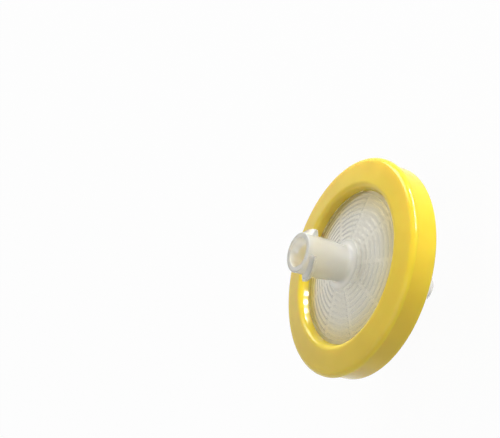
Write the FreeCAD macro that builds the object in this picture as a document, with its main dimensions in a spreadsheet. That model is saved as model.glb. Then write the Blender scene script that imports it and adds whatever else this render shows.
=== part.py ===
"""Round syringe filter with a female Luer lock inlet and a male Luer slip outlet.

Two moulded polypropylene housings clamp a membrane disc between them, and a coloured
ring is overmoulded round their flanges, which seals the stack and holds it together.

Millimetres. +Z runs along the flow axis towards the inlet, and the origin is the centre
of the outlet tip's end face. The parts touch face to face and share no volume.
"""
import FreeCAD
import Part
import Sketcher
import math
import os

# Driving dimensions, in millimetres and degrees, or as plain counts and ratios.
DIMENSIONS = {
    # whole filter
    "overall_height": 22.75,
    "hub_reach": 8.07,  # inlet mouth above the ring's crest
    # overmoulded ring
    "ring_diameter": 33.0,
    "ring_height": 5.13,
    "ring_body_diameter": 32.24,
    "bead_height": 1.48,
    "bead_slope": 8.0,  # fall of the bead's top face from crest to rim
    "bead_round": 0.8,
    "crest_diameter": 24.2,
    "crest_bevel": 0.5,
    "rear_bevel": 0.35,
    # windows that the ring leaves free
    "window_diameter": 22.6,
    "window_depth": 2.03,  # inlet flange below the ring's crest
    "rear_window_diameter": 23.4,
    # housing plates, flanges and ribs
    "flange_diameter": 28.0,
    "flange_thickness": 0.75,
    "plug_height": 0.75,  # edge of the inlet plate above its flange
    "dome_height": 1.8,  # rise of the conical inlet plate from its edge to the hub
    "vault_height": 1.95,  # rise of its underside from chamber wall to bore
    "plate_thickness": 1.0,  # outlet plate
    "chamber_diameter": 23.8,
    "rib_height": 0.35,
    "rib_pitch": 1.5,
    "rib_count": 5,
    "channel_width": 0.65,
    "channel_depth": 0.4,
    "channel_count": 9,
    "channel_phase": 6.0,
    # radial bars that hold the membrane off the outlet's floor
    "bar_width": 0.7,
    "bar_count": 8,
    "bar_end": 11.4,
    "long_bar_start": 2.4,
    "short_bar_start": 5.4,
    # membrane disc
    "membrane_diameter": 25.0,
    "membrane_thickness": 0.15,
    # female Luer lock inlet
    "luer_taper": 0.06,  # change of diameter with length
    "mouth_diameter": 4.29,
    "mouth_depth": 8.0,
    "mouth_chamfer": 0.15,
    "hub_diameter": 6.0,
    "hub_neck_diameter": 5.26,
    "hub_neck_height": 3.25,  # tapered part of the hub, above the plate
    "inlet_bore_diameter": 2.6,
    # locking lugs, parts of a two-start thread
    "lug_count": 2,
    "lug_lead": 5.0,
    "lug_sweep": 95.0,
    "lug_diameter": 7.8,
    "lug_root_width": 1.25,
    "lug_crest_width": 0.5,
    "lug_drop": 2.15,  # start of the lug's middle below the mouth
    # male Luer slip outlet
    "tip_diameter": 3.97,
    "tip_length": 8.0,
    "tip_chamfer": 0.25,
    "stem_diameter": 6.4,
    "stem_bevel": 0.3,
    "outlet_bore_diameter": 2.1,
}
BEAD_FACETS = 2  # straight runs in the section of the bead's rounded edge


class Length:
    """A size with its value and the sheet expression that gives it."""

    def __init__(self, value, text):
        self.value = float(value)
        self.text = text

    def __add__(self, other):
        other = as_length(other)
        return Length(self.value + other.value, f"({self.text} + {other.text})")

    def __sub__(self, other):
        other = as_length(other)
        return Length(self.value - other.value, f"({self.text} - {other.text})")

    def __mul__(self, other):
        other = as_length(other)
        return Length(self.value * other.value, f"({self.text} * {other.text})")

    def __truediv__(self, other):
        other = as_length(other)
        return Length(self.value / other.value, f"({self.text} / {other.text})")

    def __neg__(self):
        return Length(-self.value, f"(0 - {self.text})")


def as_length(amount):
    """A plain number as a Length, and a Length as it is."""
    return amount if isinstance(amount, Length) else Length(amount, str(amount))


def sine(angle):
    """The sine of an angle in degrees."""
    return Length(math.sin(math.radians(angle.value)), f"sin({angle.text})")


def cosine(angle):
    """The cosine of an angle in degrees."""
    return Length(math.cos(math.radians(angle.value)), f"cos({angle.text})")


def make_sheet(doc):
    """The spreadsheet of driving dimensions, one alias to a row."""
    sheet = doc.addObject("Spreadsheet::Sheet", "Dims")
    for row, (name, value) in enumerate(DIMENSIONS.items(), start=1):
        sheet.set(f"A{row}", name)
        sheet.set(f"B{row}", str(value))
        sheet.setAlias(f"B{row}", name)
    doc.recompute()
    return sheet


def size(name):
    """A driving dimension."""
    return Length(DIMENSIONS[name], f"Dims.{name}")


def half(name):
    """Half a driving dimension, as for the radius of a diameter."""
    return size(name) / 2


ZERO = as_length(0)

# Levels along the flow axis, worked down from the inlet mouth.
MOUTH = size("overall_height")
CREST = MOUTH - size("hub_reach")
RING_REAR = CREST - size("ring_height")
SEAM = CREST - size("bead_height")
INLET_FACE = CREST - size("window_depth")
MEMBRANE_TOP = INLET_FACE - size("flange_thickness")
CHAMBER_TOP = MEMBRANE_TOP + size("rib_height")
MEMBRANE_BASE = MEMBRANE_TOP - size("membrane_thickness")
CHAMBER_FLOOR = MEMBRANE_BASE - size("rib_height")
OUTLET_FACE = CHAMBER_FLOOR - size("plate_thickness")
PLUG_TOP = INLET_FACE + size("plug_height")
DOME_TOP = PLUG_TOP + size("dome_height")
NECK_TOP = DOME_TOP + size("hub_neck_height")
THROAT = MOUTH - size("mouth_depth")
TIP_TOP = size("tip_length")

# Radius where the inlet plate's edge meets the slope from the ring's crest to its window.
WINDOW_SLOPE = (half("crest_diameter") - half("window_diameter")) / size("window_depth")
PLUG_RADIUS = half("window_diameter") + WINDOW_SLOPE * size("plug_height")

# Radii of the two Luer cones at their far ends.
THROAT_RADIUS = half("mouth_diameter") - size("mouth_depth") * size("luer_taper") / 2
TIP_TOP_RADIUS = half("tip_diameter") + size("tip_length") * size("luer_taper") / 2


def new_body(doc, label):
    """An empty body whose label names its file."""
    body = doc.addObject("PartDesign::Body", label)
    body.Label = label
    return body


def origin_feature(body, role):
    """A plane or an axis of a body's own origin."""
    return next(item for item in body.Origin.OriginFeatures if item.Role == role)


def add_sketch(body, name, plane, loops, level=None):
    """A sketch of closed loops of straight lines, each corner held by two expressions."""
    sketch = body.newObject("Sketcher::SketchObject", name)
    sketch.AttachmentSupport = [(origin_feature(body, plane), "")]
    sketch.MapMode = "FlatFace"
    if level is not None:
        sketch.setExpression("AttachmentOffset.Base.z", level.text)
    for loop in loops:
        add_loop(sketch, loop)
    return sketch


def add_loop(sketch, corners):
    """One closed loop through corners given as pairs of lengths."""
    first = sketch.GeometryCount
    points = [FreeCAD.Vector(x.value, y.value, 0) for x, y in corners]
    for start, end in zip(points, points[1:] + points[:1]):
        sketch.addGeometry(Part.LineSegment(start, end), False)
    for place, (x, y) in enumerate(corners):
        line = first + place
        previous = first + (place - 1) % len(corners)
        sketch.addConstraint(Sketcher.Constraint("Coincident", previous, 2, line, 1))
        for kind, distance in (("DistanceX", x), ("DistanceY", y)):
            constraint = Sketcher.Constraint(kind, -1, 1, line, 1, distance.value)
            index = sketch.addConstraint(constraint)
            sketch.setExpression(f"Constraints[{index}]", distance.text)


def revolve(body, name, loops):
    """Loops of (radius, height) turned once round the flow axis."""
    profile = add_sketch(body, f"{name}_profile", "XZ_Plane", loops)
    revolution = body.newObject("PartDesign::Revolution", name)
    revolution.Profile = profile
    revolution.ReferenceAxis = (profile, ["V_Axis"])
    revolution.Angle = 360
    profile.Visibility = False
    body.Document.recompute()
    return revolution


def rim_names(shape, rims):
    """The names of the circular edges at the given (radius, height) pairs."""
    names = []
    for number, edge in enumerate(shape.Edges, start=1):
        if not isinstance(edge.Curve, Part.Circle):
            continue
        for radius, level in rims:
            same_radius = abs(edge.Curve.Radius - radius.value) < 1e-4
            same_level = abs(edge.Curve.Center.z - level.value) < 1e-4
            if same_radius and same_level:
                names.append(f"Edge{number}")
    return names


def bevel_rims(body, name, rims, amount):
    """A chamfer along the circular edges of the body's tip at the given (radius, height) pairs."""
    base = body.Tip
    edges = rim_names(base.Shape, rims)
    if len(edges) != len(rims):
        raise RuntimeError(f"{body.Label}: {name} found {len(edges)} of {len(rims)} rims")
    chamfer = body.newObject("PartDesign::Chamfer", name)
    chamfer.Base = (base, edges)
    chamfer.setExpression("Size", amount.text)
    body.Document.recompute()
    return chamfer


def repeat_round_axis(body, name, feature, count):
    """A feature repeated evenly round the flow axis."""
    pattern = body.newObject("PartDesign::PolarPattern", name)
    pattern.Originals = [feature]
    pattern.Axis = (origin_feature(body, "Z_Axis"), [""])
    pattern.Angle = 360
    pattern.setExpression("Occurrences", count.text)
    body.Tip = pattern
    body.Document.recompute()
    return pattern


def vault(radius):
    """Level of the inlet plate's conical underside at a radius."""
    bore = half("inlet_bore_diameter")
    wall = half("chamber_diameter")
    return CHAMBER_TOP + size("vault_height") * (wall - radius) / (wall - bore)


def add_ribs(body):
    """Concentric ridges under the inlet plate, side by side out to the chamber's wall.

    Their section is one comb: its teeth point down from the conical underside, and its back
    lies half a rib height inside the plate, so the ridges fuse with it.
    """
    pitch = size("rib_pitch")
    depth = size("rib_height")
    count = int(DIMENSIONS["rib_count"])
    outer = half("chamber_diameter")
    inner = outer - pitch * count
    comb = [(inner, vault(inner) + depth / 2), (inner, vault(inner))]
    for number in range(count):
        foot = inner + pitch * number
        comb.append((foot + pitch / 2, vault(foot + pitch / 2) - depth))
        comb.append((foot + pitch, vault(foot + pitch)))
    comb.append((outer, CHAMBER_TOP + depth / 2))
    return revolve(body, "ribs", [comb])


def cut_channels(body):
    """Radial channels through the ridges, from the first one to the chamber's wall.

    Their floors follow the conical underside and lie a little inside the plate.
    """
    start = half("chamber_diameter") - size("rib_pitch") * int(DIMENSIONS["rib_count"])
    reach = half("chamber_diameter")
    over = size("channel_depth") - size("rib_height")
    below = size("rib_height") * 2
    corners = [
        (start, vault(start) + over),
        (start, vault(start) - below),
        (reach, CHAMBER_TOP - below),
        (reach, CHAMBER_TOP + over),
    ]
    profile = add_sketch(body, "channel_profile", "XZ_Plane", [corners])
    upright = FreeCAD.Rotation(FreeCAD.Vector(0, 1, 0), DIMENSIONS["channel_phase"])
    profile.AttachmentOffset = FreeCAD.Placement(FreeCAD.Vector(), upright)
    profile.setExpression("AttachmentOffset.Rotation.Angle", size("channel_phase").text)
    volume = body.Shape.Volume
    pocket = body.newObject("PartDesign::Pocket", "channel")
    pocket.Profile = profile
    pocket.Midplane = True
    pocket.setExpression("Length", size("channel_width").text)
    profile.Visibility = False
    body.Document.recompute()
    if not pocket.Shape.Volume < volume - 1e-3:
        raise RuntimeError(f"{body.Label}: the channel cuts nothing")
    return repeat_round_axis(body, "channels", pocket, size("channel_count"))


def add_bars(body, name, start, turn):
    """Radial bars on the outlet's floor, as high as the ridges opposite."""
    side = half("bar_width")
    end = size("bar_end")
    corners = [(start, -side), (end, -side), (end, side), (start, side)]
    profile = add_sketch(body, f"{name}_profile", "XY_Plane", [corners], CHAMBER_FLOOR)
    profile.setExpression("AttachmentOffset.Rotation.Angle", turn.text)
    bar = body.newObject("PartDesign::Pad", name)
    bar.Profile = profile
    bar.setExpression("Length", size("rib_height").text)
    profile.Visibility = False
    body.Document.recompute()
    return repeat_round_axis(body, f"{name}s", bar, size("bar_count"))


def add_lugs(body):
    """Two locking lugs, each a short right-hand helix on the outside of the hub."""
    root = half("hub_diameter") - size("mouth_chamfer")
    crest = half("lug_diameter")
    middle = MOUTH - size("lug_drop")
    foot = size("lug_root_width") / 2
    tip = size("lug_crest_width") / 2
    corners = [
        (root, middle - foot),
        (crest, middle - tip),
        (crest, middle + tip),
        (root, middle + foot),
    ]
    profile = add_sketch(body, "lug_profile", "XZ_Plane", [corners])
    lug = body.newObject("PartDesign::AdditiveHelix", "lug")
    lug.Profile = profile
    lug.ReferenceAxis = (profile, ["V_Axis"])
    lug.Mode = "pitch-turns-angle"
    lug.setExpression("Pitch", size("lug_lead").text)
    lug.setExpression("Turns", (size("lug_sweep") / 360).text)
    profile.Visibility = False
    body.Document.recompute()
    return repeat_round_axis(body, "lugs", lug, size("lug_count"))


def inlet_housing(doc):
    """Upper shell: Luer hub, lugs, plate, flange, and the ridges that spread the flow."""
    body = new_body(doc, "inlet_housing")
    bore = half("inlet_bore_diameter")
    chamber = half("chamber_diameter")
    flange = half("flange_diameter")
    hub = half("hub_diameter")
    neck = half("hub_neck_diameter")
    mouth = half("mouth_diameter")
    section = [
        (bore, vault(bore)),
        (chamber, CHAMBER_TOP),
        (chamber, MEMBRANE_TOP),
        (flange, MEMBRANE_TOP),
        (flange, INLET_FACE),
        (half("window_diameter"), INLET_FACE),
        (PLUG_RADIUS, PLUG_TOP),
        (neck, DOME_TOP),
        (hub, NECK_TOP),
        (hub, MOUTH),
        (mouth, MOUTH),
        (THROAT_RADIUS, THROAT),
        (bore, THROAT),
    ]
    revolve(body, "shell", [section])
    bevel_rims(body, "mouth_edges", [(hub, MOUTH), (mouth, MOUTH)], size("mouth_chamfer"))
    add_lugs(body)
    add_ribs(body)
    cut_channels(body)
    return body


def outlet_housing(doc):
    """Lower shell: Luer slip tip, stem, plate, flange with the membrane's seat, and bars."""
    body = new_body(doc, "outlet_housing")
    bore = half("outlet_bore_diameter")
    tip = half("tip_diameter")
    stem = half("stem_diameter")
    chamber = half("chamber_diameter")
    seat = half("membrane_diameter")
    flange = half("flange_diameter")
    section = [
        (bore, ZERO),
        (tip, ZERO),
        (TIP_TOP_RADIUS, TIP_TOP),
        (stem, TIP_TOP),
        (stem, OUTLET_FACE),
        (flange, OUTLET_FACE),
        (flange, MEMBRANE_TOP),
        (seat, MEMBRANE_TOP),
        (seat, MEMBRANE_BASE),
        (chamber, MEMBRANE_BASE),
        (chamber, CHAMBER_FLOOR),
        (bore, CHAMBER_FLOOR),
    ]
    revolve(body, "shell", [section])
    bevel_rims(body, "stem_shoulder", [(stem, TIP_TOP)], size("stem_bevel"))
    bevel_rims(body, "tip_edge", [(tip, ZERO)], size("tip_chamfer"))
    half_step = as_length(180) / size("bar_count")
    add_bars(body, "long_bar", size("long_bar_start"), ZERO)
    add_bars(body, "short_bar", size("short_bar_start"), half_step)
    return body


def bead_corners(rim, crest):
    """The bead's rounded outer edge in straight runs, from its upright rim to its sloping top."""
    round_off = size("bead_round")
    slope = size("bead_slope")
    centre = rim - round_off
    fall = (centre - crest) * sine(slope) / cosine(slope)
    level = CREST - fall - round_off / cosine(slope)
    corners = []
    for step in range(BEAD_FACETS + 1):
        turn = (as_length(90) - slope) * step / BEAD_FACETS
        corners.append((centre + round_off * cosine(turn), level + round_off * sine(turn)))
    return corners


def outer_ring(doc):
    """Overmoulded ring that wraps both flanges, with a sloping, rounded bead at the inlet side."""
    body = new_body(doc, "outer_ring")
    rim = half("ring_diameter")
    side = half("ring_body_diameter")
    crest = half("crest_diameter")
    window = half("window_diameter")
    rear_window = half("rear_window_diameter")
    flange = half("flange_diameter")
    section = [
        (rear_window, RING_REAR),
        (side, RING_REAR),
        (side, SEAM),
        (rim, SEAM),
        *bead_corners(rim, crest),
        (crest, CREST),
        (window, INLET_FACE),
        (flange, INLET_FACE),
        (flange, OUTLET_FACE),
        (rear_window, OUTLET_FACE),
    ]
    revolve(body, "bead", [section])
    bevel_rims(body, "crest_edge", [(crest, CREST)], size("crest_bevel"))
    bevel_rims(body, "rear_edge", [(side, RING_REAR)], size("rear_bevel"))
    return body


def filter_membrane(doc):
    """Thin porous disc, clamped at its edge between the two housings."""
    disc = doc.addObject("Part::Cylinder", "filter_membrane")
    disc.Label = "filter_membrane"
    disc.setExpression("Radius", half("membrane_diameter").text)
    disc.setExpression("Height", size("membrane_thickness").text)
    disc.setExpression("Placement.Base.z", MEMBRANE_BASE.text)
    return disc


def check(doc, parts):
    """Stop unless every object is sound and every part is one valid solid."""
    for item in doc.Objects:
        if "Invalid" in item.State or "Error" in item.State:
            raise RuntimeError(f"{item.Name}: {item.State}")
    for part in parts:
        shape = part.Shape
        if shape.isNull() or not shape.isValid() or len(shape.Solids) != 1:
            raise RuntimeError(f"{part.Label}: not one valid solid")
        print(f"{part.Label}: {shape.Volume:.1f} mm3")


def main():
    doc = FreeCAD.newDocument("syringe_filter")
    make_sheet(doc)
    parts = [inlet_housing(doc), outlet_housing(doc), outer_ring(doc), filter_membrane(doc)]
    doc.recompute()
    check(doc, parts)
    os.makedirs("parts", exist_ok=True)
    for part in parts:
        part.Shape.exportStep(f"parts/{part.Label}.step")


main()
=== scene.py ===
"""Looks of a round syringe filter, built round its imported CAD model.

The two clear housings and the yellow ring are finer meshes with the CAD pieces' own form:
true arcs where the solids have short facets, and more and lower ridges under the window.
The membrane keeps its CAD mesh.
Metres throughout, in the CAD frame: +Z is the flow axis and the outlet tip stands on z = 0.
"""
import math

import bmesh
import bpy
from mathutils import Matrix, Vector


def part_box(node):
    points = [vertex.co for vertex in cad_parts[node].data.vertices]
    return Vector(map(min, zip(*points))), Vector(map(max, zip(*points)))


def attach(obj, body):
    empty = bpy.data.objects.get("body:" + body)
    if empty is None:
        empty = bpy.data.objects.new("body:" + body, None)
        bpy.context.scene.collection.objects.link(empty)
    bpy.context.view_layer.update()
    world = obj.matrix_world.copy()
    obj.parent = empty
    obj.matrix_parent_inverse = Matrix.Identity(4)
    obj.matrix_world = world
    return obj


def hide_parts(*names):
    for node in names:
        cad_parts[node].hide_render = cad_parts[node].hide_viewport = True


MM = 0.001
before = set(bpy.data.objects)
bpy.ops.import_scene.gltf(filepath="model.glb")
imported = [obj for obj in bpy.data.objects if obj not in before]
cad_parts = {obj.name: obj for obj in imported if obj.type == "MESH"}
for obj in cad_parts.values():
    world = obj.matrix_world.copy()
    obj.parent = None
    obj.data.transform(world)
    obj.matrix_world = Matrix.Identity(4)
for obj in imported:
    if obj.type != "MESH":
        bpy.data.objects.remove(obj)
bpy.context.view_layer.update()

# Levels and radii that the frame gives. A node's box ends at its outer radius.
_, inlet_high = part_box("inlet_housing")
outlet_low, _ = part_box("outlet_housing")
ring_low, ring_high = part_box("outer_ring")
membrane_low, membrane_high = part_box("filter_membrane")
MOUTH = inlet_high.z
CREST_LOSS = 0.07 * MM  # what the crest's rounding takes off its sharp corner
CREST = ring_high.z + CREST_LOSS
RING_REAR = ring_low.z
TIP_END = outlet_low.z
MEMBRANE_TOP = membrane_high.z
MEMBRANE_BASE = membrane_low.z
RIM = ring_high.x
FLANGE = inlet_high.x
MEMBRANE_RIM = membrane_high.x

# Sizes that the pieces share. Those across the flow axis are radii.
GAP = 0.02 * MM  # keeps faces that touch from lying in one plane
PLATE = 1.0 * MM
WINDOW = 11.3 * MM
PLUG = 11.57 * MM
PLUG_HEIGHT = 0.75 * MM
RIB_HEIGHT = 0.35 * MM  # of the solids' ridges and bars, which sets the chambers' heights
CHAMBER = 11.9 * MM
TAPER = 0.03  # change of a Luer cone's radius with length
LUER_LENGTH = 8.0 * MM
FUNNEL_DEPTH = 2.03 * MM
INLET_FACE = CREST - FUNNEL_DEPTH
PLUG_TOP = INLET_FACE + PLUG_HEIGHT
CHAMBER_TOP = MEMBRANE_TOP + RIB_HEIGHT
CHAMBER_FLOOR = MEMBRANE_BASE - RIB_HEIGHT
OUTLET_FACE = CHAMBER_FLOOR - PLATE

# Mesh fineness.
ARC_STEP = math.radians(9)
LONGEST_RUN = 0.4 * MM
SHARP = math.radians(32)  # an edge that turns further stays crisp
RING_COLUMNS = 288
SAME_PLACE = 1e-6 * MM  # points closer than this are one point of an outline
MERGE = 0.001 * MM  # vertices closer than this become one


# ---------------------------------------------------------------- outlines and meshes

def arc_points(before, corner, after, rounding):
    """The rounded corner between two runs, from its first tangent point to its last."""
    to_before = (before - corner).normalized()
    to_after = (after - corner).normalized()
    half_angle = to_before.angle(to_after) / 2
    bisector = (to_before + to_after).normalized()
    centre = corner + bisector * (rounding / math.sin(half_angle))
    reach = rounding / math.tan(half_angle)
    first = corner + to_before * reach - centre
    last = corner + to_after * reach - centre
    sweep = first.angle_signed(last)
    steps = max(2, math.ceil(abs(sweep) / ARC_STEP))
    points = []
    for step in range(steps + 1):
        turn = Matrix.Rotation(-sweep * step / steps, 2)
        points.append(centre + turn @ first)
    return points


def outline(corners):
    """A closed outline through (radius, level, rounding) corners, its long runs divided."""
    places = [Vector((radius, level)) for radius, level, _ in corners]
    shaped = []
    for number, (_, _, rounding) in enumerate(corners):
        here = places[number]
        if rounding > 0:
            after = places[(number + 1) % len(places)]
            shaped += arc_points(places[number - 1], here, after, rounding)
        else:
            shaped.append(here)
    points = []
    for number, here in enumerate(shaped):
        there = shaped[(number + 1) % len(shaped)]
        pieces = max(1, math.ceil((there - here).length / LONGEST_RUN))
        points += [here.lerp(there, piece / pieces) for piece in range(pieces)]
    return points


def until(points, end):
    """The points of an outline before it comes to a place."""
    reached = next(number for number, here in enumerate(points) if (here - end).length < SAME_PLACE)
    return points[:reached]


def closed_grid(name, rows, columns, point):
    """A closed ring-shaped mesh of quads, with point(row, column) as its corners."""
    mesh = bpy.data.meshes.new(name)
    corners = [point(row, column) for row in range(rows) for column in range(columns)]
    quads = []
    for row in range(rows):
        below = row * columns
        above = (row + 1) % rows * columns
        for column in range(columns):
            beside = (column + 1) % columns
            quads.append((below + column, below + beside, above + beside, above + column))
    mesh.from_pydata(corners, [], quads)
    piece = bpy.data.objects.new(name, mesh)
    bpy.context.scene.collection.objects.link(piece)
    return piece


def cylinder_point(radius, angle, level):
    """The point at a radius, an angle from +X towards +Y, and a level."""
    return (radius * math.cos(angle), radius * math.sin(angle), level)


def spin(name, corners, columns):
    """An outline turned once round the flow axis."""
    points = outline(corners)

    def point(row, column):
        return cylinder_point(points[row].x, math.tau * column / columns, points[row].y)

    return closed_grid(name, len(points), columns, point)


def smooth(piece):
    """Smooth shading with crisp edges, and faces that look outwards."""
    mesh = bmesh.new()
    mesh.from_mesh(piece.data)
    bmesh.ops.remove_doubles(mesh, verts=mesh.verts, dist=MERGE)
    bmesh.ops.recalc_face_normals(mesh, faces=mesh.faces)
    for face in mesh.faces:
        face.smooth = True
    for edge in mesh.edges:
        edge.smooth = edge.is_manifold and edge.calc_face_angle() < SHARP
    mesh.to_mesh(piece.data)
    mesh.free()


# ---------------------------------------------------------------- yellow ring

SEAM_DEPTH = 1.48 * MM  # from the crest to the bead's lower face
SEAM = CREST - SEAM_DEPTH
CREST_RADIUS = 12.1 * MM
BEAD_SLOPE = math.radians(8)
BAND_TOP = 16.11 * MM
BAND_REAR = 15.98 * MM
REAR_WINDOW = 11.7 * MM


def build_ring():
    """The overmoulded ring: a sloping, rounded bead over a narrower band with a draft."""
    fall = (RIM - CREST_RADIUS) * math.tan(BEAD_SLOPE)
    corners = [
        (REAR_WINDOW, RING_REAR, 0.12 * MM),
        (BAND_REAR, RING_REAR, 0.4 * MM),
        (BAND_TOP, SEAM, 0.05 * MM),
        (RIM, SEAM, 0.06 * MM),
        (RIM, CREST - fall, 0.9 * MM),
        (CREST_RADIUS, CREST, 0.8 * MM),
        (WINDOW, INLET_FACE + GAP, 0.05 * MM),
        (FLANGE + GAP, INLET_FACE + GAP, 0),
        (FLANGE + GAP, OUTLET_FACE - GAP, 0),
        (REAR_WINDOW, OUTLET_FACE - GAP, 0.05 * MM),
    ]
    return spin("ring_overmould", corners, RING_COLUMNS)


# ---------------------------------------------------------------- inlet housing

CHANNELS = 9
CHANNEL_PHASE = math.radians(6)
CHANNEL_HALF = 0.325 * MM
RIDGES = 11
RIDGE_PITCH = 0.87 * MM
RIDGE_HEIGHT = 0.05 * MM
RIDGE_ROWS = 12  # steps across one ridge
RIDGE_COLUMNS = 26  # steps along a ridge, from one channel to the next
CHANNEL_COLUMNS = 4  # steps across a channel
RIDGE_MARK = "ridge"  # attribute that says where the plate is thicker, from 0 to 1; the housing's colour is darkened there as painted shade
DOME_RISE = 1.8 * MM  # of the outer face, from the window's edge to the hub
VAULT_RISE = 1.95 * MM  # of its underside, from the chamber's wall to the bore
INLET_BORE = 1.3 * MM
HUB = 3.0 * MM
NECK = 2.63 * MM
NECK_LENGTH = 3.25 * MM
DOME_TOP = PLUG_TOP + DOME_RISE
NECK_TOP = DOME_TOP + NECK_LENGTH
MOUTH_RADIUS = 2.145 * MM
THROAT = MOUTH - LUER_LENGTH
THROAT_RADIUS = MOUTH_RADIUS - LUER_LENGTH * TAPER


def vault(radius):
    """Level of the plate's conical underside at a radius."""
    return CHAMBER_TOP + VAULT_RISE * (CHAMBER - radius) / (CHAMBER - INLET_BORE)


def ridge(share):
    """Height of a rounded ridge, from 0 to 1, across its pitch."""
    return (1 - math.cos(math.tau * share)) / 2


def spoke_columns(inside, between):
    """Columns of one sector as (kind, share): across a spoke, then across the gap beside it."""
    columns = [("spoke", -1 + 2 * step / inside) for step in range(inside + 1)]
    columns += [("gap", step / between) for step in range(between + 1)]
    return columns


def inlet_rows():
    """The section's points, and for each one how far the ridges hang down there."""
    inner = CHAMBER - RIDGES * RIDGE_PITCH
    underside = []
    steps = RIDGES * RIDGE_ROWS
    for step in range(steps + 1):
        radius = inner + (CHAMBER - inner) * step / steps
        height = RIDGE_HEIGHT * ridge(step / RIDGE_ROWS % 1)
        underside.append((Vector((radius, vault(radius))), height))
    shell = outline([
        (CHAMBER, CHAMBER_TOP, 0),
        (CHAMBER, MEMBRANE_TOP + GAP, 0),
        (FLANGE, MEMBRANE_TOP + GAP, 0.1 * MM),
        (FLANGE, INLET_FACE, 0.1 * MM),
        (WINDOW, INLET_FACE, 0),
        (PLUG, PLUG_TOP, 0.04 * MM),
        (NECK, DOME_TOP, 0.6 * MM),
        (HUB, NECK_TOP, 4.0 * MM),
        (HUB, MOUTH, 0.18 * MM),
        (MOUTH_RADIUS, MOUTH, 0.15 * MM),
        (THROAT_RADIUS, THROAT, 0.08 * MM),
        (INLET_BORE, THROAT, 0.15 * MM),
        (INLET_BORE, vault(INLET_BORE), 0.1 * MM),
        (inner, vault(inner), 0),
    ])
    return underside + [(point, 0.0) for point in until(shell, underside[0][0])[1:]]


def build_inlet():
    """The upper housing: hub, plate, and the ridges and channels under the plate."""
    rows = inlet_rows()
    sector = math.tau / CHANNELS
    columns = spoke_columns(CHANNEL_COLUMNS, RIDGE_COLUMNS)

    def point(row, column):
        place, height = rows[row]
        kind, share = columns[column % len(columns)]
        centre = CHANNEL_PHASE + sector * (column // len(columns))
        half = math.asin(CHANNEL_HALF / place.x)
        wall = half + GAP / place.x
        if kind == "spoke":
            return cylinder_point(place.x, centre + half * share, place.y)
        angle = centre + wall + (sector - 2 * wall) * share
        return cylinder_point(place.x, angle, place.y - height)

    housing = closed_grid("inlet_shell", len(rows), CHANNELS * len(columns), point)
    # heights of the ridges, which set the painted shade that the housing's colour gets along them
    ridge_shade_mask = housing.data.attributes.new(RIDGE_MARK, "FLOAT", "POINT")
    ridge_shade_mask.data.foreach_set("value", [
        height / RIDGE_HEIGHT if kind == "gap" else 0.0
        for _, height in rows
        for kind, _ in columns * CHANNELS
    ])
    smooth(housing)
    for number in range(LUGS):
        join(housing, build_lug(number))
    return housing


LUGS = 2
LUG_LEAD = 5.0 * MM
LUG_SWEEP = math.radians(95)
LUG_CREST = 3.9 * MM
LUG_ROOT = HUB - 0.25 * MM  # inside the hub's wall, so that the two unite
LUG_ROOT_HALF = 0.66 * MM
LUG_CREST_HALF = 0.25 * MM
LUG_DROP = 2.15 * MM
LUG_ROUNDING = 0.12 * MM
LUG_STEPS = 44
LUG_END = math.radians(7)  # length of each rounded end
LUG_END_HEIGHT = 0.35  # share of its height that a lug starts and ends with
LUG_LEAST_WIDTH = 0.6  # share of its width that a lug of no height would have


def lug_section():
    """The lug's section as (height over the root, level): a trapezoid with a rounded crest."""
    tall = LUG_CREST - LUG_ROOT
    root = [Vector((0, -LUG_ROOT_HALF)), Vector((0, LUG_ROOT_HALF))]
    crest = [Vector((tall, -LUG_CREST_HALF)), Vector((tall, LUG_CREST_HALF))]
    low = arc_points(root[0], crest[0], crest[1], LUG_ROUNDING)
    high = arc_points(crest[0], crest[1], root[1], LUG_ROUNDING)
    return [root[0]] + low + high + [root[1]]


def build_lug(number):
    """One locking lug: its section swept up a short right-hand helix."""
    section = lug_section()
    lug = bmesh.new()
    loops = []
    for step in range(LUG_STEPS + 1):
        swept = LUG_SWEEP * step / LUG_STEPS
        to_end = min(swept, LUG_SWEEP - swept) / LUG_END
        rise = math.sqrt(1 - (1 - min(1, to_end)) ** 2)
        height = LUG_END_HEIGHT + (1 - LUG_END_HEIGHT) * rise
        width = LUG_LEAST_WIDTH + (1 - LUG_LEAST_WIDTH) * height
        middle = MOUTH - LUG_DROP + LUG_LEAD * swept / math.tau
        angle = swept + math.tau * number / LUGS
        loop = []
        for corner in section:
            radius = LUG_ROOT + corner.x * height
            level = middle + corner.y * width
            loop.append(lug.verts.new(cylinder_point(radius, angle, level)))
        loops.append(loop)
    for first, second in zip(loops, loops[1:]):
        for place in range(len(first)):
            beside = (place + 1) % len(first)
            lug.faces.new((first[place], first[beside], second[beside], second[place]))
    lug.faces.new(loops[0])
    lug.faces.new(loops[-1][::-1])
    bmesh.ops.recalc_face_normals(lug, faces=lug.faces)
    mesh = bpy.data.meshes.new(f"lug_{number}")
    lug.to_mesh(mesh)
    lug.free()
    piece = bpy.data.objects.new(f"lug_{number}", mesh)
    bpy.context.scene.collection.objects.link(piece)
    return piece


def join(housing, lug):
    """Unites a lug with the housing, and removes the lug."""
    union = housing.modifiers.new("union", "BOOLEAN")
    union.operation = "UNION"
    union.solver = "EXACT"
    union.object = lug
    graph = bpy.context.evaluated_depsgraph_get()
    united = bpy.data.meshes.new_from_object(housing.evaluated_get(graph))
    housing.modifiers.remove(union)
    old = housing.data
    housing.data = united
    bpy.data.meshes.remove(old)
    bpy.data.meshes.remove(lug.data)


# ---------------------------------------------------------------- outlet housing

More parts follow.
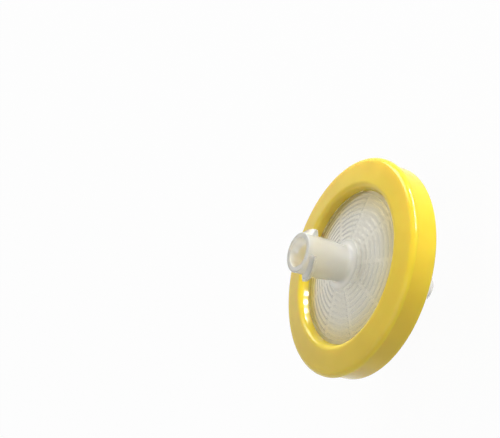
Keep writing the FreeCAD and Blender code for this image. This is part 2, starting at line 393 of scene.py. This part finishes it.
BARS = 8  # of each length, long and short in turn
BAR_HALF = 0.35 * MM
BAR_END = 11.4 * MM
LONG_BAR_START = 2.4 * MM
SHORT_BAR_START = 5.4 * MM
LONG_BAR_SHARE = 0.3  # of a sector: the widest that half a bar's columns get near the bore
SHORT_BAR_SHARE = 0.15
BAR_COLUMNS = 3  # steps across a bar
FLOOR_COLUMNS = 6  # steps from one bar to the next
OUTLET_BORE = 1.05 * MM
TIP_RADIUS = 1.985 * MM
TIP_TOP = TIP_END + LUER_LENGTH
TIP_TOP_RADIUS = TIP_RADIUS + LUER_LENGTH * TAPER
STEM = 3.2 * MM


def bar_rows():
    """Radii from the bore to the chamber's wall, with a close pair where a bar starts or ends."""
    radii = [OUTLET_BORE]
    stops = [OUTLET_BORE, LONG_BAR_START, SHORT_BAR_START, BAR_END, CHAMBER]
    for start, stop in zip(stops, stops[1:]):
        pieces = math.ceil((stop - start) / (2 * LONGEST_RUN))
        radii += [start + (stop - start) * piece / pieces for piece in range(1, pieces + 1)]
        radii.append(stop + GAP)
    return radii[:-2]  # the wall's point comes with the outline


def outlet_rows():
    """The section's points from the bore outwards, and whether each lies on the floor."""
    floor = [(Vector((radius, CHAMBER_FLOOR)), True) for radius in bar_rows()]
    shell = outline([
        (CHAMBER, CHAMBER_FLOOR, 0),
        (CHAMBER, MEMBRANE_BASE - GAP, 0),
        (MEMBRANE_RIM + GAP, MEMBRANE_BASE - GAP, 0),
        (MEMBRANE_RIM + GAP, MEMBRANE_TOP, 0.03 * MM),
        (FLANGE, MEMBRANE_TOP, 0.1 * MM),
        (FLANGE, OUTLET_FACE, 0.1 * MM),
        (STEM, OUTLET_FACE, 0.6 * MM),
        (STEM, TIP_TOP, 0.3 * MM),
        (TIP_TOP_RADIUS, TIP_TOP, 0.12 * MM),
        (TIP_RADIUS, TIP_END, 0.25 * MM),
        (OUTLET_BORE, TIP_END, 0.08 * MM),
        (OUTLET_BORE, CHAMBER_FLOOR, 0),
    ])
    return floor + [(point, False) for point in until(shell, floor[0][0])]


def build_outlet():
    """The lower housing: Luer tip, stem, plate, membrane seat, and bars on the floor."""
    rows = outlet_rows()
    sector = math.tau / BARS
    half_sector = sector / 2
    columns = [
        (length, kind, share)
        for length in ("long", "short")
        for kind, share in spoke_columns(BAR_COLUMNS, FLOOR_COLUMNS)
    ]

    def point(row, column):
        place, on_floor = rows[row]
        length, kind, share = columns[column % len(columns)]
        centre = sector * (column // len(columns))
        wall = GAP / place.x
        half = math.asin(min(1, BAR_HALF / place.x))
        long_half = min(half, LONG_BAR_SHARE * sector)
        short_half = min(half, SHORT_BAR_SHARE * sector)
        if length == "long":
            own, other, start = long_half, short_half, LONG_BAR_START
        else:
            own, other, start = short_half, long_half, SHORT_BAR_START
            centre += half_sector
        if kind == "gap":
            low = own + wall
            high = half_sector - other - wall
            return cylinder_point(place.x, centre + low + (high - low) * share, place.y)
        raised = on_floor and start + GAP / 2 < place.x < BAR_END + GAP / 2
        level = place.y + (RIB_HEIGHT - GAP if raised else 0)
        return cylinder_point(place.x, centre + own * share, level)

    return closed_grid("outlet_shell", len(rows), BARS * len(columns), point)


# ---------------------------------------------------------------- materials

class Nodes:
    """A material under construction: adds nodes and links them by socket name."""

    tone_range = (0.35, 0.65)  # stretch of the noise that a colour changes over
    spread_range = (0.3, 0.7)  # stretch of it that a value changes over

    def __init__(self, name):
        self.material = bpy.data.materials.new(name)
        self.material.use_nodes = True
        self.tree = self.material.node_tree
        self.shader = self.tree.nodes["Principled BSDF"]
        self.place = self.add("ShaderNodeTexCoord").outputs["Object"]

    def add(self, kind, **settings):
        """A new node with its settings."""
        node = self.tree.nodes.new(kind)
        for name, value in settings.items():
            setattr(node, name, value)
        return node

    def link(self, source, target):
        self.tree.links.new(source, target)

    def noise(self, size, detail=2.0, roughness=0.5):
        """Noise whose blotches are about one size across."""
        node = self.add("ShaderNodeTexNoise")
        node.inputs["Scale"].default_value = 1 / size
        node.inputs["Detail"].default_value = detail
        node.inputs["Roughness"].default_value = roughness
        self.link(self.place, node.inputs["Vector"])
        return node.outputs["Fac"]

    def tones(self, source, low, high):
        """A colour that runs from low to high as the noise does."""
        node = self.add("ShaderNodeValToRGB")
        first, last = node.color_ramp.elements
        first.position, last.position = self.tone_range
        first.color = (*low, 1.0)
        last.color = (*high, 1.0)
        self.link(source, node.inputs["Fac"])
        return node.outputs["Color"]

    def mix(self, factor, source, colour, blend_type="MIX"):
        """Mixes one plain colour into a source's colours."""
        node = self.add("ShaderNodeMix", data_type="RGBA", blend_type=blend_type)
        sockets = {socket.identifier: socket for socket in (*node.inputs, *node.outputs)}
        self.link(factor, sockets["Factor_Float"])
        self.link(source, sockets["A_Color"])
        sockets["B_Color"].default_value = (*colour, 1.0)
        return sockets["Result_Color"]

    def least(self, first, second):
        """The smaller of two values."""
        node = self.add("ShaderNodeMath", operation="MINIMUM")
        self.link(first, node.inputs[0])
        self.link(second, node.inputs[1])
        return node.outputs["Value"]

    def attribute(self, name):
        """A value that the mesh carries at its points."""
        node = self.add("ShaderNodeAttribute", attribute_name=name)
        return node.outputs["Fac"]

    def radius(self):
        """Distance from the flow axis."""
        flat = self.add("ShaderNodeVectorMath", operation="MULTIPLY")
        flat.inputs[1].default_value = (1, 1, 0)
        self.link(self.place, flat.inputs[0])
        length = self.add("ShaderNodeVectorMath", operation="LENGTH")
        self.link(flat.outputs["Vector"], length.inputs[0])
        return length.outputs["Value"]

    def across(self, source, start, end, low, high):
        """Runs smoothly from low to high while the source goes from start to end."""
        node = self.add("ShaderNodeMapRange", interpolation_type="SMOOTHSTEP")
        node.inputs["From Min"].default_value = start
        node.inputs["From Max"].default_value = end
        node.inputs["To Min"].default_value = low
        node.inputs["To Max"].default_value = high
        self.link(source, node.inputs["Value"])
        return node.outputs["Result"]

    def spread(self, source, low, high):
        """Noise brought to run from low to high."""
        return self.across(source, *self.spread_range, low, high)

    def bumps(self, layers):
        """Bump from (height source, strength, depth) layers, one over the other."""
        normal = None
        for source, strength, depth in layers:
            node = self.add("ShaderNodeBump")
            node.inputs["Strength"].default_value = strength
            node.inputs["Distance"].default_value = depth
            self.link(source, node.inputs["Height"])
            if normal:
                self.link(normal, node.inputs["Normal"])
            normal = node.outputs["Normal"]
        self.link(normal, self.shader.inputs["Normal"])

    def set(self, **values):
        """Gives the shader plain values, with _ for each space in a socket's name."""
        for name, value in values.items():
            self.shader.inputs[name.replace("_", " ")].default_value = value

    def feed(self, name, source):
        """Gives one of the shader's sockets a source."""
        self.link(source, self.shader.inputs[name])


def ring_material():
    """Glossy yellow polypropylene with faint mould texture."""
    nodes = Nodes("yellow_gloss")
    cloud = nodes.noise(6 * MM)
    grain = nodes.noise(0.25 * MM, detail=3)
    nodes.feed("Base Color", nodes.tones(cloud, (0.77, 0.56, 0.015), (0.82, 0.6, 0.022)))
    nodes.feed("Roughness", nodes.spread(nodes.noise(2.5 * MM), 0.11, 0.18))
    nodes.set(IOR=1.49, Subsurface_Weight=0.85, Subsurface_Scale=2.5 * MM)
    nodes.set(Subsurface_Radius=(1.0, 0.75, 0.15))
    nodes.bumps([(grain, 0.25, 0.01 * MM), (nodes.noise(3 * MM), 0.3, 0.03 * MM)])
    return nodes.material


# How the housings' plastic changes with the distance from the flow axis.
PAINTED_GLOW_START = 7.2 * MM  # painted light: the ring's yellow, which shines through and reflects in the clear plastic, is painted into it from here on
PAINTED_GLOW_END = 12.2 * MM
CLEARING_START = 3.1 * MM  # the hub turns into the thinner plate
CLEARING_END = 4.3 * MM
CLOUDING_START = 10.2 * MM  # the plate turns into the thicker rim
CLOUDING_END = 11.6 * MM
HUB_CLARITY = 0.7  # how far the plastic looks clear, as against milky
PLATE_CLARITY = 0.88
RIM_CLARITY = 0.74


def housing_material():
    """Milky, slightly warm translucent polypropylene: clearest in the plate, with painted shade
    along the ridges and the ring's yellow light painted in near the rim.
    """
    nodes = Nodes("milky_clear")
    cloud = nodes.noise(5 * MM)
    grain = nodes.noise(0.3 * MM, detail=3)
    radius = nodes.radius()
    clear = nodes.tones(cloud, (0.97, 0.955, 0.885), (0.98, 0.97, 0.91))
    # painted light: the housing's colour turns yellow towards the ring, for the ring's light seen
    # through the plate
    glow_share = nodes.across(radius, PAINTED_GLOW_START, PAINTED_GLOW_END, 0, 1)
    painted_glow = nodes.mix(glow_share, clear, (0.98, 0.84, 0.38))
    # painted shade: a darker colour along the ridges stands in for the lines that their refraction
    # draws
    painted_ridge_shade = nodes.mix(nodes.attribute(RIDGE_MARK), painted_glow, (0.78, 0.78, 0.78), "MULTIPLY")
    nodes.feed("Base Color", painted_ridge_shade)
    nodes.feed("Roughness", nodes.spread(nodes.noise(2 * MM), 0.2, 0.24))
    nodes.feed("Transmission Weight", nodes.least(
        nodes.across(radius, CLEARING_START, CLEARING_END, HUB_CLARITY, PLATE_CLARITY),
        nodes.across(radius, CLOUDING_START, CLOUDING_END, PLATE_CLARITY, RIM_CLARITY),
    ))
    nodes.set(IOR=1.49, Coat_Weight=0.6, Coat_Roughness=0.06)
    nodes.set(Subsurface_Weight=0.4, Subsurface_Scale=1.5 * MM)
    nodes.set(Subsurface_Radius=(1.0, 0.9, 0.75))
    nodes.bumps([(grain, 0.2, 0.01 * MM), (nodes.noise(2.5 * MM), 0.3, 0.03 * MM)])
    return nodes.material


def membrane_material():
    """White porous membrane: matte, with a fine felted surface."""
    nodes = Nodes("white_membrane")
    pores = nodes.noise(0.12 * MM, detail=4, roughness=0.7)
    cloud = nodes.noise(4 * MM)
    nodes.feed("Base Color", nodes.tones(cloud, (0.88, 0.86, 0.8), (0.9, 0.88, 0.82)))
    nodes.feed("Roughness", nodes.spread(pores, 0.75, 0.95))
    nodes.bumps([(pores, 0.6, 0.02 * MM)])
    return nodes.material


def dress(piece, material):
    """Gives a piece one material in place of those it had."""
    piece.data.materials.clear()
    piece.data.materials.append(material)


# ---------------------------------------------------------------- camera, floor, light

FOCAL_LENGTH = 166.3
SENSOR = 36.0
ELEVATION = math.radians(28.0)
ROLL = math.radians(15.8)  # of the flow axis from the picture's level line
CENTRE_DEPTH = 0.33 * MM  # of the ring's front face, under the crest
CENTRE = Vector((0, 0, CREST - CENTRE_DEPTH))
DISTANCE = 336.8 * MM  # from the lens to the centre, along the view axis
ASIDE = 14.03 * MM  # how far the centre lies to the right of the view axis
BELOW = 6.79 * MM


def place_camera():
    """A long lens at the filter's side, turned so that the hub points left and a little up."""
    right = Vector((
        math.sin(ROLL),
        -math.cos(ROLL) * math.sin(ELEVATION),
        -math.cos(ROLL) * math.cos(ELEVATION),
    ))
    up = Vector((
        math.cos(ROLL),
        math.sin(ROLL) * math.sin(ELEVATION),
        math.sin(ROLL) * math.cos(ELEVATION),
    ))
    back = right.cross(up)
    data = bpy.data.cameras.new("camera")
    data.lens = FOCAL_LENGTH
    data.sensor_width = SENSOR
    data.sensor_fit = "HORIZONTAL"
    data.clip_start = 0.01
    data.clip_end = 20
    camera = bpy.data.objects.new("camera", data)
    bpy.context.scene.collection.objects.link(camera)
    place = CENTRE - right * ASIDE + up * BELOW + back * DISTANCE
    turn = Matrix((right, up, back)).transposed().to_4x4()
    camera.matrix_world = Matrix.Translation(place) @ turn
    bpy.context.scene.camera = camera


def lamp(name, azimuth, elevation, distance, size, power):
    """A square soft light that looks at the filter. Azimuth runs from +X towards +Y."""
    azimuth = math.radians(azimuth)
    elevation = math.radians(elevation)
    direction = Vector((
        math.cos(elevation) * math.cos(azimuth),
        math.cos(elevation) * math.sin(azimuth),
        math.sin(elevation),
    ))
    data = bpy.data.lights.new(name, "AREA")
    data.shape = "SQUARE"
    data.size = size
    data.energy = power
    light = bpy.data.objects.new(name, data)
    bpy.context.scene.collection.objects.link(light)
    light.location = Vector((0, 0, CREST)) + direction * distance
    light.rotation_euler = direction.to_track_quat("Z", "Y").to_euler()


SIDE_LAMPS = 4
SIDE_START = -36  # azimuth of the first, in degrees
SIDE_STEP = 13


def place_lamps():
    """Three large lamps, and a row of small ones that leaves glints on the ring's edges."""
    lamp("key", azimuth=45, elevation=35, distance=0.55, size=0.27, power=1.0)
    lamp("overhead", azimuth=180, elevation=65, distance=0.8, size=0.8, power=1.1)
    lamp("fill", azimuth=-112, elevation=45, distance=0.8, size=0.6, power=0.95)
    for number in range(SIDE_LAMPS):
        azimuth = SIDE_START + SIDE_STEP * number
        lamp(f"side_{number}", azimuth, elevation=8, distance=0.5, size=0.045, power=0.75)


def seen_directly(nodes, links):
    """1 for the rays that show the background: from the camera, or through gloss or glass."""
    path = nodes.new("ShaderNodeLightPath")
    total = path.outputs["Is Camera Ray"]
    for name in ("Is Glossy Ray", "Is Transmission Ray"):
        either = nodes.new("ShaderNodeMath")
        either.operation = "MAXIMUM"
        links.new(total, either.inputs[0])
        links.new(path.outputs[name], either.inputs[1])
        total = either.outputs["Value"]
    return total


AMBIENT = 0.27  # strength of the world's light on the filter


def build_world():
    """White to look at, and dimmer as a light."""
    world = bpy.data.worlds.new("studio")
    bpy.context.scene.world = world
    world.use_nodes = True
    nodes = world.node_tree.nodes
    links = world.node_tree.links
    background = nodes["Background"]
    background.inputs["Color"].default_value = (1, 1, 1, 1)
    strength = nodes.new("ShaderNodeMapRange")
    strength.inputs["To Min"].default_value = AMBIENT
    strength.inputs["To Max"].default_value = 1.0
    links.new(seen_directly(nodes, links), strength.inputs["Value"])
    links.new(strength.outputs["Result"], background.inputs["Strength"])


FLOOR_GLOW = 0.955  # share of plain white in the floor's look, over its own shaded grey
FLOOR_HALF = 1.5


def build_floor():
    """A pale floor that shows white, with a faint shadow."""
    mesh = bpy.data.meshes.new("floor")
    signs = [(-1, -1), (1, -1), (1, 1), (-1, 1)]
    corners = [(FLOOR_HALF * x, FLOOR_HALF * y, 0) for x, y in signs]
    mesh.from_pydata(corners, [], [(0, 1, 2, 3)])
    floor = bpy.data.objects.new("floor", mesh)
    bpy.context.scene.collection.objects.link(floor)
    material = bpy.data.materials.new("pale_floor")
    material.use_nodes = True
    nodes = material.node_tree.nodes
    links = material.node_tree.links
    matte = nodes["Principled BSDF"]
    matte.inputs["Base Color"].default_value = (0.75, 0.75, 0.75, 1)
    matte.inputs["Roughness"].default_value = 0.9
    matte.inputs["Specular IOR Level"].default_value = 0.0
    glow = nodes.new("ShaderNodeEmission")
    mix = nodes.new("ShaderNodeMixShader")
    share = nodes.new("ShaderNodeMath")
    share.operation = "MULTIPLY"
    share.inputs[1].default_value = FLOOR_GLOW
    links.new(seen_directly(nodes, links), share.inputs[0])
    links.new(share.outputs["Value"], mix.inputs["Fac"])
    links.new(matte.outputs["BSDF"], mix.inputs[1])
    links.new(glow.outputs["Emission"], mix.inputs[2])
    links.new(mix.outputs["Shader"], nodes["Material Output"].inputs["Surface"])
    floor.data.materials.append(material)


# ---------------------------------------------------------------- the object

bpy.context.scene.view_settings.view_transform = "Standard"
place_camera()
build_world()
build_floor()
place_lamps()

ring = build_ring()
smooth(ring)
dress(ring, ring_material())
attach(ring, "root")
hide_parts("outer_ring")

milky = housing_material()

inlet = build_inlet()
smooth(inlet)
dress(inlet, milky)
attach(inlet, "root")
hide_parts("inlet_housing")

outlet = build_outlet()
smooth(outlet)
dress(outlet, milky)
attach(outlet, "root")
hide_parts("outlet_housing")

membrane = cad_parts["filter_membrane"]
dress(membrane, membrane_material())
